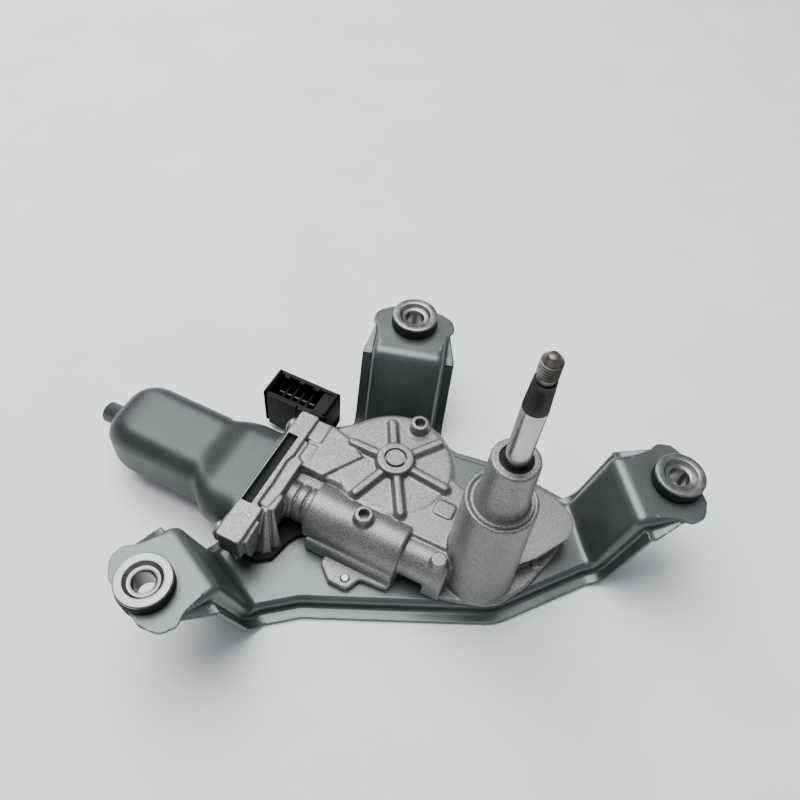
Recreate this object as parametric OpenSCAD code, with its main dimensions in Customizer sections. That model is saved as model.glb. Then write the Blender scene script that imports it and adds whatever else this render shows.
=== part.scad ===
// Rear window wiper motor on its stamped bracket, with the worm drive and swing linkage inside.
// Every height in a module is measured from the top of the bracket's plate.

/* [Bracket] */
// Thickness of the bracket sheet
sheet_t = 2.0; // [1.5:0.1:2.2]
// Drop from the top of the plate to the bottom of its lip
lip_drop = 9.0; // [8.5:0.5:10]
// Height of the three mounting pads above the plate
pad_rise = 42.0; // [40:1:46]
// Width of an arm between its two side walls
arm_w = 38.0; // [36:1:38]

/* [Rubber mounts] */
// Radius of the flange on each sleeve
sleeve_flange_r = 12.0; // [11.5:0.1:12.5]
// Radius of the bolt hole through each sleeve
sleeve_bore_r = 4.5; // [3.5:0.1:4.8]
// Height of the rubber between a pad and the sleeve's flange
rubber_h = 5.2; // [4.6:0.2:6]

/* [Worm drive] */
// Teeth on the worm wheel, an even number that isn't a multiple of four
wheel_teeth = 54; // [50:4:54]
// Pitch radius of the single-start worm
worm_pitch_r = 8.0; // [7.6:0.1:8.2]
// Height of the armature's axis above the plate
motor_z = 13.0; // [13:0.1:13.4]

/* [Output shaft] */
// Radius of the output shaft
shaft_r = 5.0; // [4.6:0.1:5.2]
// Radius of the thread at its tip
thread_r = 4.0; // [3.5:0.1:4.2]
// Height of the shaft's tip above the plate
shaft_tip = 160.5; // [156:0.5:164]
// Distance from the shaft's axis to the lever pin
lever_r = 11.0; // [9.5:0.5:11]
// Angle that the wiper sweeps
sweep = 110; // [90:5:115]

/* [Housing] */
// Height of the gear case's roof above the plate
roof_z = 25.0; // [24.6:0.2:26]
// Height of the top of the shaft tower above the plate
tower_top = 100.5; // [98:0.5:102]

/* [Hidden] */
$fn = 64;

// The origin is on the floor below the middle of the bounding box
origin_x = 58.17;
origin_y = -2.99;

// Gears: the worm lies along X and the wheel's axis is upright
gear_m = 1.0;
tooth_pitch = PI * gear_m;
tooth_w = 1.1;
flank = tan(20);
dedendum = 1.25 * gear_m;
wheel_pitch_r = gear_m * wheel_teeth / 2;
wheel_outer_r = wheel_pitch_r + gear_m;
wheel_root_r = wheel_pitch_r - dedendum;
worm_turns = 6;
motor_y = -12.5;
wheel_x = -56.5;
wheel_y = motor_y + wheel_pitch_r + worm_pitch_r;
wheel_face = 9.0;
wheel_bottom = motor_z - wheel_face / 2;
case_wall = 2.0;
case_r = wheel_outer_r + 0.6;

// Linkage, stacked above the cover: the rod runs below the lever and below the shaft's end
run_gap = 0.05;
cover_t = 1.2;
rod_z = 2.9;
rod_t = 2.5;
lever_z = rod_z + rod_t + 0.4;
lever_t = 2.5;
pin_r = 3.0;
eye_r = 4.2;
lever_room = lever_r + eye_r + 0.7;
chamber_top = 11.5;

// At rest the lever points at the near end of its sweep and the crank is at its far dead centre
wheel_d = norm([wheel_x, wheel_y]);
wheel_dir = atan2(wheel_y, wheel_x);
lever_dir = wheel_dir - 90 - sweep / 2;
lever_pin_at = lever_r * [cos(lever_dir), sin(lever_dir)];
lever_side = lever_r * cos(sweep / 2);
half_stroke = lever_r * sin(sweep / 2);
reach_far = norm([wheel_d + half_stroke, lever_side]);
reach_near = norm([wheel_d - half_stroke, lever_side]);
crank_r = (reach_far - reach_near) / 2;
rod_dir = atan2(wheel_y - lever_pin_at[1], wheel_x - lever_pin_at[0]);
crank_pin_at = [wheel_x, wheel_y] - crank_r * [cos(rod_dir), sin(rod_dir)];

// Stations of the motor along X
can_end = -192.0;
boss_l = 12.0;
boss_r = 5.5;
can_shoulder = -138.0;
can_skirt = -130.0;
flange_back = -111.0;
flange_front = -99.0;
neck_front = -82.0;
tube_front = -33.0;
can_t = 1.5;
can_w = 40;
can_h = 38;
can_corner = 10.5;
skirt_w = 56;
skirt_h = 28;
skirt_corner = 13;
flange_z = 0.3;
flange_h = 28.2;
flange_w = 78.5;
screw_gap = 66;
screw_z = 20;
armature_shaft_r = 3.5;
armature_r = 15.2;
tube_r = 13.5;

// Shaft tower
tower_base_r = 17.8;
shoulder_r = 15.7;
shoulder_z = 70.0;
tower_bore_r = 7.0;

// Arms: pad hole, direction out of the plate, distance from hole to crest, run of the slope
left_arm = [-116.0, -89.6, -115, 23.7, 12];
right_arm = [69.4, 66.0, 36, 26, 11];
back_arm = [-82.4, 97.3, 107, 24.3, 16];
arms = [left_arm, right_arm, back_arm];
pad_hole_r = 9.0;
lip_w = 5.0;

// Where an arm's lower bend meets the plate's edge, inside the arm's side wall
function valley_end(arm, s) = [arm[0], arm[1]]
  - (arm[3] + arm[4]) * [cos(arm[2]), sin(arm[2])]
  + s * (arm_w / 2 - 1) * [-sin(arm[2]), cos(arm[2])];
plate_outline = [
  valley_end(left_arm, -1), valley_end(left_arm, 1), [-68, -51.5], [15, -12.3],
  valley_end(right_arm, -1), valley_end(right_arm, 1), [12, 61], [-17, 62], [-38, 58.7],
  valley_end(back_arm, -1), valley_end(back_arm, 1), [-99.5, 43], [-106, 30], [-106, -46]
];
bolt_points = [[-16, -15.5], [-90, 14], [22, 36]];
rivet_points = [[-53.8, -34], [24.5, 14.6], [-88, 27], [5, 41]];
headed_rivets = [rivet_points[0], rivet_points[1]];

module placed() translate([origin_x, origin_y, lip_drop]) children();
module at(p, z = 0) translate([p[0], p[1], z]) children();
module along_x(x) translate([x, motor_y, motor_z]) rotate([0, 90, 0]) children();

module tube(r_out, r_in, h) difference() {
  cylinder(r = r_out, h = h);
  translate([0, 0, -1]) cylinder(r = r_in, h = h + 2);
}

// Rounded rectangle, w along Y and h along Z once it is laid along X
module rounded(w, h, r) {
  square([h, w - 2 * r], center = true);
  square([h - 2 * r, w], center = true);
  for (i = [-1, 1], j = [-1, 1]) translate([i * (h / 2 - r), j * (w / 2 - r)]) circle(r);
}

// A closed band beside an open line of points, between distances d0 and d1 to its left
function unit(v) = v / norm(v);
function seg_left(p, i) = let (u = unit(p[i + 1] - p[i])) [-u[1], u[0]];
function corner_shift(p, i) =
  i == 0 ? seg_left(p, 0)
  : i == len(p) - 1 ? seg_left(p, i - 1)
  : let (a = seg_left(p, i - 1), b = seg_left(p, i)) (a + b) / (1 + a * b);
function beside(p, d) = [for (i = [0 : len(p) - 1]) p[i] + d * corner_shift(p, i)];
function reversed(p) = [for (i = [len(p) - 1 : -1 : 0]) p[i]];
module band(p, d0, d1) polygon(concat(beside(p, d0), reversed(beside(p, d1))));

// Straight bar with round ends
module bar(p, r_p, q, r_q, h) {
  side = seg_left([p, q], 0);
  at(p) cylinder(r = r_p, h = h);
  at(q) cylinder(r = r_q, h = h);
  linear_extrude(height = h)
    polygon([p + 0.98 * r_p * side, p - 0.98 * r_p * side, q - 0.98 * r_q * side,
      q + 0.98 * r_q * side]);
}

// ---- Bracket and its rubber mounts ----

// One arm in its own plane: X runs outwards through the pad's hole
module arm_frame(arm) translate([arm[0], arm[1], 0]) rotate([0, 0, arm[2]]) children();

module arm_strip(line, d0, d1, y0, y1)
  translate([0, y1, 0]) rotate([90, 0, 0]) linear_extrude(height = y1 - y0) band(line, d0, d1);

// The line that an arm's top follows, from reach inside the plate to end on the pad
function arm_line(arm, reach, end) = let (crest = -arm[3], valley = crest - arm[4])
  [[valley - reach, 0], [valley, 0], [crest, pad_rise], [end, pad_rise]];

// Sheets that cross are set a fraction of a millimetre apart, so that no two faces coincide
inlay = 0.1;

module arm(arm) arm_frame(arm) {
  arm_strip(arm_line(arm, 4, -10), -sheet_t - inlay, -inlay, -arm_w / 2, arm_w / 2);
  for (s = [-1, 1]) {
    wall = s * (arm_w / 2 - sheet_t + 0.3);
    wall_out = s * (arm_w / 2 - 0.3);
    arm_strip(arm_line(arm, 2, -5), -lip_drop + 0.6, -0.6, min(wall, wall_out),
      max(wall, wall_out));
    lip = s * (arm_w / 2 - sheet_t);
    lip_out = s * (arm_w / 2 + lip_w);
    arm_strip(arm_line(arm, 1, -4), -lip_drop + 0.2, sheet_t - lip_drop + inlay,
      min(lip, lip_out), max(lip, lip_out));
  }
  translate([0, 0, pad_rise - sheet_t]) linear_extrude(height = sheet_t) hull()
    for (s = [-1, 1]) {
      translate([2.5, s * 14]) circle(r = 8, $fn = 32);
      translate([-8, s * 13]) circle(r = 4, $fn = 32);
    }
}

module free_edge(from, to) {
  line = [for (i = [from : to]) plate_outline[i]];
  translate([0, 0, 0.7 - lip_drop]) linear_extrude(height = lip_drop - 1.4) band(line, 0.3, 1.7);
  translate([0, 0, -lip_drop]) linear_extrude(height = sheet_t) band(line, -lip_w, sheet_t);
}

module mounting_bracket() color("slategray") placed() difference() {
  union() {
    translate([0, 0, -sheet_t]) linear_extrude(height = sheet_t) polygon(plate_outline);
    free_edge(1, 4);
    free_edge(5, 9);
    free_edge(10, 13);
    for (a = arms) arm(a);
  }
  for (a = arms) at(a, pad_rise - sheet_t - 1) cylinder(r = pad_hole_r, h = sheet_t + 2);
  for (p = bolt_points) at(p, -sheet_t - 1) cylinder(r = 3.3, h = sheet_t + 2);
}

// The rubber fills the pad's hole and grips the sheet in a groove
module grommet(arm) color("black") placed() at(arm, pad_rise) rotate_extrude() polygon([
  [6.4, -6.4], [11.8, -6.4], [11.8, -sheet_t], [pad_hole_r, -sheet_t], [pad_hole_r, 0],
  [12.2, 0], [12.2, rubber_h], [9.2, rubber_h], [6.4, rubber_h - 2.8]
]);

module sleeve(arm) color("gainsboro") placed() at(arm, pad_rise) rotate_extrude() polygon([
  [sleeve_bore_r, -6.8], [6.4, -6.8], [6.4, rubber_h - 2.8], [9.2, rubber_h],
  [sleeve_flange_r, rubber_h], [sleeve_flange_r, rubber_h + 1.2],
  [sleeve_flange_r - 0.4, rubber_h + 1.6], [8.4, rubber_h + 1.6], [7.0, rubber_h - 0.2],
  [sleeve_bore_r, rubber_h - 0.2]
]);

module left_grommet() grommet(left_arm);
module right_grommet() grommet(right_arm);
module back_grommet() grommet(back_arm);
module left_sleeve() sleeve(left_arm);
module right_sleeve() sleeve(right_arm);
module back_sleeve() sleeve(back_arm);

// ---- Gear case ----

// Plan of the ear behind the tower, which gives the lever room to swing
ear = [[-16, 12], [-10, 34], [6, 47], [20, 46], [29, 41], [32.3, 36], [31.5, 30.8], [21.3, 14.1], [14, 6]];
// Height of the underside of the motor flange's near end
ear_underside = 14;
// Plan of the low web between the wheel case and the motor flange
neck_web = [[flange_front, -2], [flange_front, 26], [-92, 27.5], [-82, 38], [-60, 50], [-40, 0]];
foot = [[-68, -27], [-68, -32], [-60.6, -38.5], [-50.5, -38.5], [-47.5, -31], [-34, -30],
  [-31, -20], [-13, -22.5], [-4, -20.5], [3, -18.3], [10, -16], [16, -12], [25, 3], [32, 25],
  [33.8, 37], [0, 20], [-40, 10]];

module star_rib(angle, length)
  at([wheel_x, wheel_y], roof_z) rotate([0, 0, angle]) translate([6, -1.6, -0.5])
    cube([length - 6, 3.2, 3.6]);

module bored_boss(p, z0, z1) at(p, z0) difference() {
  cylinder(r = 4.4, h = z1 - z0);
  translate([0, 0, z1 - z0 - 5]) cylinder(r = 2.7, h = 6);
}

// The rod's way from the wheel to the lever, widened by a wall
module rod_way(wall) band([[wheel_x, wheel_y], [0, 0]], -7 - wall, 17.5 + wall);

// Plan of the roof between the wheel case and the tower
roof_bridge = [[-45, -9], [-14, -9], [-8, 0], [-8, 12], [-14, 24], [-45, 34]];

module case_outside() {
  // Wheel case with its ribbed roof
  at([wheel_x, wheel_y], cover_t) cylinder(r = case_r + case_wall, h = roof_z - cover_t);
  at([wheel_x, wheel_y], roof_z - 1) cylinder(r = 9.1, h = 5.5);
  for (rib = [[120, 23], [53, 26], [-7, 29], [-62, 26], [-112, 26], [174, 25]])
    star_rib(rib[0], rib[1]);
  translate([0, 0, cover_t]) linear_extrude(height = roof_z - cover_t) polygon(neck_web);
  translate([0, 0, cover_t]) linear_extrude(height = roof_z - cover_t - 0.4) polygon(roof_bridge);
  // Low flange, ear and foot
  translate([0, 0, cover_t]) linear_extrude(height = 2.8) polygon(foot);
  translate([0, 0, cover_t]) linear_extrude(height = 15 - cover_t) polygon(ear);
  translate([0, 0, cover_t]) linear_extrude(height = chamber_top + 2.5 - cover_t) rod_way(2);
  // Worm tube, its neck and its closed end
  along_x(flange_front - 1) cylinder(r = 9.5, h = neck_front - flange_front + 2);
  along_x(neck_front) cylinder(r = tube_r, h = tube_front - neck_front);
  along_x(tube_front - 1) cylinder(r = 10.6, h = 24);
  translate([flange_front, -9, cover_t]) cube([neck_front - flange_front + 2, 12, 20]);
  translate([neck_front + 3, motor_y - tube_r - 1, cover_t])
    cube([tube_front - neck_front - 3, tube_r + 6, motor_z - cover_t - 1]);
  translate([-19.5, motor_y - 9, cover_t]) cube([9.5, 18, motor_z - cover_t]);
  // Tower
  at([0, 0], cover_t) cylinder(r1 = tower_base_r, r2 = shoulder_r, h = shoulder_z - cover_t);
  at([0, 0], shoulder_z - 1) cylinder(r1 = 11.2, r2 = 10.1, h = tower_top - shoulder_z + 1);
  // Motor flange, with a second step on the gear side
  translate([flange_back, motor_y - flange_w / 2, flange_z])
    cube([flange_front - flange_back, flange_w, flange_h]);
  translate([flange_front - 1, motor_y - 16, cover_t]) cube([5, 54, flange_h - 3]);
}

module case_inside() {
  // Wheel chamber, worm bore and bearing seats
  at([wheel_x, wheel_y], -1) cylinder(r = case_r, h = roof_z - 4 + 1);
  along_x(neck_front + 2) cylinder(r = 10, h = tube_front - neck_front - 4);
  along_x(flange_front - 8) cylinder(r = 7, h = neck_front - flange_front + 12);
  along_x(tube_front - 3) cylinder(r = 6, h = 13);
  // Lever chamber and the way for the rod
  at([0, 0], -1) cylinder(r = lever_room, h = chamber_top + 1);
  translate([0, 0, -1]) linear_extrude(height = chamber_top + 1) rod_way(0);
  // Tower bore and the core round it
  at([0, 0], 5) cylinder(r = tower_bore_r, h = tower_top);
  at([0, 0], chamber_top - 0.5) difference() {
    cylinder(r1 = 15.2, r2 = 12.6, h = 50);
    cylinder(r = 10, h = 60);
  }
  // Pocket and top slot for the brush holder
  translate([flange_back - 1, motor_y - 25, flange_z + 3]) cube([8, 50, flange_h - 6]);
  translate([flange_back + 1, motor_y - 19, flange_z + 10]) cube([5.6, 43, flange_h]);
  translate([flange_back - 1, motor_y + 24, flange_z + 2]) cube([8, 20, 11]);
  along_x(flange_back - 1) cylinder(r = 10, h = 8);
  // The flange's near end is an ear that stands clear of the plate
  translate([flange_back - 1, motor_y - flange_w / 2 - 1, -1])
    cube([14, flange_w / 2 - 24, ear_underside + 1]);
}

module gear_housing() color("silver") placed() difference() {
  union() {
    difference() {
      case_outside();
      case_inside();
    }
    // Sockets of the wheel pin and the shaft's lower bush
    at([wheel_x, wheel_y], roof_z - 5) cylinder(r = 8.5, h = 5);
    at([0, 0], chamber_top - 0.5) tube(10, tower_bore_r, 5);
    bored_boss([-54.4, 46.5], roof_z - 2, 31);
    bored_boss([-55.6, motor_y - 0.5], 24.5, 31);
    at(bolt_points[0], cover_t) cylinder(r = 4.2, h = 27 - cover_t);
  }
  translate([flange_front, -60, -5]) cube([160, 120, 5 + cover_t]);
  at([wheel_x, wheel_y], roof_z - 6) cylinder(r = 4.5, h = 12);
  for (p = bolt_points) at(p, -1) cylinder(r = 3, h = 12);
  for (p = rivet_points) at(p, -1) cylinder(r = 1.6, h = 8);
  for (p = headed_rivets) at(p, 4) cylinder(r = 3, h = 14);
  for (s = [-1, 1]) translate([flange_back - 1, motor_y + s * screw_gap / 2, screw_z])
    rotate([0, 90, 0]) cylinder(r = 2.5, h = 11);
  at([0, 0], shoulder_z - 0.8) difference() {
    cylinder(r = 14.2, h = 3);
    translate([0, 0, -1]) cylinder(r = 11.4, h = 5);
  }
}

module gear_cover() color("gray") placed() difference() {
  union() {
    at([wheel_x, wheel_y]) cylinder(r = case_r + case_wall, h = cover_t);
    cylinder(r = tower_base_r, h = cover_t);
    linear_extrude(height = cover_t) polygon(ear);
    linear_extrude(height = cover_t) polygon(foot);
    linear_extrude(height = cover_t) rod_way(2);
    linear_extrude(height = cover_t) polygon([for (p = neck_web) [max(p[0], -97), p[1]]]);
    linear_extrude(height = cover_t)
      polygon([[-79, -27], [-79, 0], [-12, 0], [-12, -21.5]]);
  }
  for (p = bolt_points) at(p, -1) cylinder(r = 3.3, h = 4);
  for (p = rivet_points) at(p, -1) cylinder(r = 1.6, h = 4);
}

module cover_rivets() color("lightgray") placed() {
  for (p = rivet_points) at(p, 0) cylinder(r = 1.6, h = 4.6);
  for (p = headed_rivets) at(p, 4) cylinder(r1 = 2.4, r2 = 1.6, h = 1);
}

module bracket_bolts() color("dimgray") placed() for (p = bolt_points) {
  at(p, -sheet_t - 4) difference() {
    cylinder(r = 5.5, h = 4, $fn = 6);
    translate([0, 0, -1]) cylinder(r = 3.2, h = 2);
  }
  at(p, -sheet_t) cylinder(r = 3, h = sheet_t + 11);
}

module wheel_pin() color("gainsboro") placed() at([wheel_x, wheel_y]) {
  translate([0, 0, wheel_bottom + 0.2]) cylinder(r = 4, h = roof_z - 5 - wheel_bottom);
  translate([0, 0, roof_z - 5]) cylinder(r = 4.5, h = 9.8);
}

// Plan of the seal that shows between the motor flange, the neck and the plate
seal_plan = [[-98.8, -46], [-95.5, -45], [-89.5, -40.5], [-87.5, -30], [-85, -24.5], [-82.3, -22.5],
  [-82.3, -19], [-94.8, -19], [-94.8, -28.7], [-98.8, -28.7]];

module flange_seal() color("black") placed() translate([0, 0, 0.1])
  linear_extrude(height = 3.2) polygon(seal_plan);

// ---- Motor ----

module can_body(t) {
  w = can_w - 2 * t;
  h = can_h - 2 * t;
  intersection() {
    along_x(can_end + t) linear_extrude(height = can_shoulder - can_end - t)
      rounded(w, h, can_corner - t);
    along_x(can_end + t) rotate_extrude() translate([-t, 0]) polygon([
      [t, 0], [12, 0], [16, 1], [19.5, 3.6], [22, 7.5], [23.3, 11.5], [24, 16], [28, 70], [t, 70]
    ]);
  }
  hull() {
    along_x(can_shoulder - 0.5) linear_extrude(height = 0.5) rounded(w, h, can_corner - t);
    along_x(can_skirt) linear_extrude(height = 0.5)
      rounded(skirt_w - 2 * t, skirt_h - 2 * t, skirt_corner - t);
  }
  along_x(can_skirt) linear_extrude(height = flange_back - can_skirt)
    rounded(skirt_w - 2 * t, skirt_h - 2 * t, skirt_corner - t);
}

module motor_can() color("lightslategray") placed() difference() {
  union() {
    can_body(0);
    along_x(can_end - boss_l) cylinder(r = boss_r, h = boss_l + 1);
    along_x(flange_back - 1.5) linear_extrude(height = 1.5) {
      rounded(skirt_w + 6, skirt_h + 2, skirt_corner + 1);
      for (s = [-1, 1]) translate([motor_z - screw_z, s * screw_gap / 2]) circle(r = 5);
      translate([motor_z - screw_z, 0]) square([10, screw_gap], center = true);
    }
  }
  intersection() {
    can_body(can_t);
    along_x(can_end) cylinder(r = 60, h = 100);
  }
  along_x(flange_back - 0.5) linear_extrude(height = 2)
    rounded(skirt_w - 2 * can_t, skirt_h - 2 * can_t, skirt_corner - can_t);
  along_x(can_end - 2.4) cylinder(r = 3.8, h = 5);
  along_x(can_end - 5.4) cylinder(r = 2, h = 4);
  for (s = [-1, 1]) translate([flange_back - 3, motor_y + s * screw_gap / 2, screw_z])
    rotate([0, 90, 0]) cylinder(r = 2.5, h = 4);
}

module field_magnets() color("dimgray") placed() intersection() {
  along_x(-180) tube(can_h / 2 - can_t, 15.6, 38);
  union() for (s = [-1, 1]) translate([-190, motor_y - 14, motor_z + s * 16 - 8.2])
    cube([60, 28, 16.4]);
}

module rear_bush() color("darkgoldenrod") placed()
  along_x(can_end + can_t) tube(6.5, armature_shaft_r + run_gap, 6.5);

module thrust_ball() color("gainsboro") placed() along_x(can_end - 3.4) sphere(r = 2);

module front_bearing() color("darkgoldenrod") placed()
  along_x(-96) tube(7, armature_shaft_r + run_gap, 11);

module worm_end_bush() color("darkgoldenrod") placed()
  along_x(tube_front) tube(6, armature_shaft_r + run_gap, 9.5);

module brush_box(s) translate([-124, motor_y + (s > 0 ? 9.6 : -22.6), motor_z - 3.7])
  cube([18, 13, 7.4]);

module brush_holder() color("darkslategray") placed() difference() {
  union() {
    translate([flange_back, motor_y - 25, flange_z + 3]) cube([7, 50, flange_h - 6]);
    translate([flange_back + 1, motor_y - 19, 20]) cube([5.6, 43, 5]);
    translate([flange_back, motor_y + 24, flange_z + 2]) cube([7, 21.5, 11]);
    translate([flange_back, motor_y - 34.5, 3.4]) cube([6.9, 10, ear_underside - 3.5]);
    brush_box(1);
    brush_box(-1);
  }
  along_x(-115) cylinder(r = 9.2, h = 12);
  for (s = [-1, 1]) translate([-122.8, motor_y + (s > 0 ? 9 : -21.4), motor_z - 2.5])
    cube([7, 12.4, 5]);
}

module carbon_brushes() color("black") placed() for (s = [-1, 1])
  translate([-122.8, motor_y + (s > 0 ? 8.6 : -15.6), motor_z - 2.5]) cube([7, 7, 5]);

module brush_springs() color("gainsboro") placed() for (s = [-1, 1])
  translate([-119.3, motor_y + s * 15.6, motor_z]) rotate([-90 * s, 0, 0]) rotate_extrude()
    polygon(concat([for (i = [0 : 11]) [i % 2 == 0 ? 2.0 : 1.5, i * 5.8 / 11]],
      [for (i = [11 : -1 : 0]) [i % 2 == 0 ? 1.5 : 1.0, i * 5.8 / 11]]));

module can_screws() color("gainsboro") placed() for (s = [-1, 1])
  translate([0, motor_y + s * screw_gap / 2, screw_z]) rotate([0, 90, 0]) {
    translate([0, 0, flange_back - 1.5]) cylinder(r = 2.5, h = 11);
    translate([0, 0, flange_back - 4.1]) cylinder(r1 = 3.6, r2 = 4.6, h = 2.6);
  }

blade_x = [-133, -128.4, -123.8, -119.2, -114.6];

module connector_housing() color("black") placed() difference() {
  union() {
    translate([-139, 33, -5]) cube([34, 18, 24]);
    translate([-106, 33, 0.3]) cube([4, 18, 18.7]);
    translate([-136, 31.4, -5]) cube([24.8, 2, 24]);
  }
  translate([-136.6, 35.2, 3]) cube([26, 13.4, 20]);
  for (x = blade_x) translate([x - 1.4, 41.5, -4]) cube([2.8, 0.8, 8]);
}

module connector_terminals() color("goldenrod") placed()
  for (x = blade_x) translate([x - 1.4, 41.5, -4]) cube([2.8, 0.8, 17]);

module lower_shaft_bush() color("darkgoldenrod") placed()
  at([0, 0], chamber_top) tube(tower_bore_r, shaft_r + run_gap, 18);

module upper_shaft_bush() color("darkgoldenrod") placed()
  at([0, 0], tower_top - 22) tube(tower_bore_r, shaft_r + run_gap, 17);

module shaft_seal() color("black") placed()
  at([0, 0], tower_top - 3.2) tube(tower_bore_r, shaft_r + run_gap, 2.4);

// ---- Armature and worm ----

module armature_shaft() color("gainsboro") placed()
  along_x(can_end - 1.3) cylinder(r = armature_shaft_r, h = 168.3);

// The thread's section square to its axis, with the thread's crest facing the wheel
module worm_section() polygon([for (a = [0 : 15 : 345])
  let (
    axial = abs((a + 90) % 360 - 180) / 360 * tooth_pitch,
    r = worm_pitch_r + (tooth_w / 2 - axial) / flank
  )
  max(worm_pitch_r - dedendum, min(worm_pitch_r + gear_m, r)) * [cos(a), sin(a)]
]);

module worm() color("darkgoldenrod") placed()
  along_x(wheel_x - worm_turns * tooth_pitch / 2) difference() {
    linear_extrude(height = worm_turns * tooth_pitch, twist = 360 * worm_turns,
      slices = 16 * worm_turns, $fn = 24) worm_section();
    translate([0, 0, -1]) cylinder(r = armature_shaft_r, h = worm_turns * tooth_pitch + 2);
  }

module slots(r0, r1, w, h)
  for (i = [0 : 7]) rotate([0, 0, i * 45 + 22.5]) translate([r0, -w / 2, 0]) cube([r1 - r0, w, h]);

module armature_core() color("gray") placed() along_x(-177) difference() {
  tube(armature_r, armature_shaft_r, 32);
  translate([0, 0, -1]) slots(8, 20, 2.6, 34);
}

module armature_windings() color("chocolate") placed() along_x(-177) {
  translate([0, 0, -1]) slots(8, 13.6, 2.6, 34);
  translate([0, 0, -6]) tube(14.2, 5.5, 6);
  translate([0, 0, 32]) tube(14.2, 5.5, 6);
}

module commutator() color("peru") placed() along_x(-129) difference() {
  tube(8.5, armature_shaft_r, 14);
  for (i = [0 : 7]) rotate([0, 0, i * 45]) translate([7.3, -0.3, 1]) cube([3, 0.6, 14]);
}

// ---- Worm wheel ----

module worm_wheel() color("ivory") placed() at([wheel_x, wheel_y], wheel_bottom) difference() {
  union() {
    linear_extrude(height = wheel_face) polygon([for (i = [0 : wheel_teeth - 1], q = [0 : 3])
      let (
        half = tooth_w / 2 + (q == 0 || q == 3 ? dedendum : -gear_m) * flank,
        r = q == 0 || q == 3 ? wheel_root_r : wheel_outer_r,
        a = i * 360 / wheel_teeth + (q < 2 ? -1 : 1) * half / r * 180 / PI
      )
      r * [cos(a), sin(a)]
    ]);
    cylinder(r = 7.5, h = roof_z - 5.1 - wheel_bottom);
  }
  translate([0, 0, wheel_face - 2.5]) difference() {
    cylinder(r = 22, h = 10);
    translate([0, 0, -1]) cylinder(r = 7.5, h = 12);
  }
  translate([0, 0, -1]) cylinder(r = 4 + run_gap, h = 20);
}

// ---- Output shaft and linkage ----

module output_shaft() color("silver") placed() difference() {
  union() {
    at([0, 0], lever_z) cylinder(r = shaft_r, h = shaft_tip - 27 - lever_z);
    at([0, 0], shaft_tip - 27) cylinder(r1 = shaft_r, r2 = thread_r + 0.2, h = 15);
    at([0, 0], shaft_tip - 12) cylinder(r = thread_r - 0.5, h = 2);
    at([0, 0], shaft_tip - 10) cylinder(r = thread_r, h = 10);
  }
  at([0, 0], tower_top - 4.6) tube(shaft_r + 1, shaft_r - 0.6, 1);
}

module output_lever() color("gray") placed() difference() {
  at([0, 0], lever_z) bar([0, 0], 8, lever_pin_at, eye_r, lever_t);
  at([0, 0], lever_z - 1) cylinder(r = shaft_r, h = lever_t + 2);
  at(lever_pin_at, lever_z - 1) cylinder(r = pin_r - 0.5, h = lever_t + 2);
}

// The pin hangs from the lever through the rod's eye and ends in a head
module lever_pin() color("gainsboro") placed() {
  at(lever_pin_at, lever_z) cylinder(r = pin_r - 0.5, h = lever_t);
  at(lever_pin_at, rod_z - 0.2) cylinder(r = pin_r, h = lever_z - rod_z + 0.2);
  at(lever_pin_at, rod_z - 1.4) cylinder(r = pin_r + 1.2, h = 1.2);
}

module retaining_ring() color("dimgray") placed()
  at([0, 0], tower_top - 4.6) tube(shaft_r + 1.4, shaft_r - 0.6, 1);

module link_rod() color("gray") placed() difference() {
  at([0, 0], rod_z) bar(lever_pin_at, eye_r, crank_pin_at, eye_r, rod_t);
  at(lever_pin_at, rod_z - 1) cylinder(r = pin_r + run_gap, h = rod_t + 2);
  at(crank_pin_at, rod_z - 1) cylinder(r = pin_r, h = rod_t + 2);
}

module crank_pin() color("gainsboro") placed() {
  at(crank_pin_at, rod_z) cylinder(r = pin_r, h = wheel_bottom - 0.3 - rod_z);
  at(crank_pin_at, rod_z - 1.2) cylinder(r = pin_r + 1.2, h = 1.2);
}

mounting_bracket();
left_grommet();
right_grommet();
back_grommet();
left_sleeve();
right_sleeve();
back_sleeve();
gear_housing();
gear_cover();
cover_rivets();
bracket_bolts();
wheel_pin();
flange_seal();
motor_can();
field_magnets();
rear_bush();
thrust_ball();
front_bearing();
worm_end_bush();
brush_holder();
carbon_brushes();
brush_springs();
can_screws();
connector_housing();
connector_terminals();
lower_shaft_bush();
upper_shaft_bush();
shaft_seal();
armature_shaft();
worm();
armature_core();
armature_windings();
commutator();
worm_wheel();
output_shaft();
output_lever();
lever_pin();
retaining_ring();
link_rod();
crank_pin();
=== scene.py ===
"""Rear wiper motor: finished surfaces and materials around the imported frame.

Pieces are built in millimetres, measured from the output shaft's axis and the top of the
bracket's plate, and put into the frame by place(). +X runs along the motor, +Z up the shaft.
"""
import math

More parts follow.
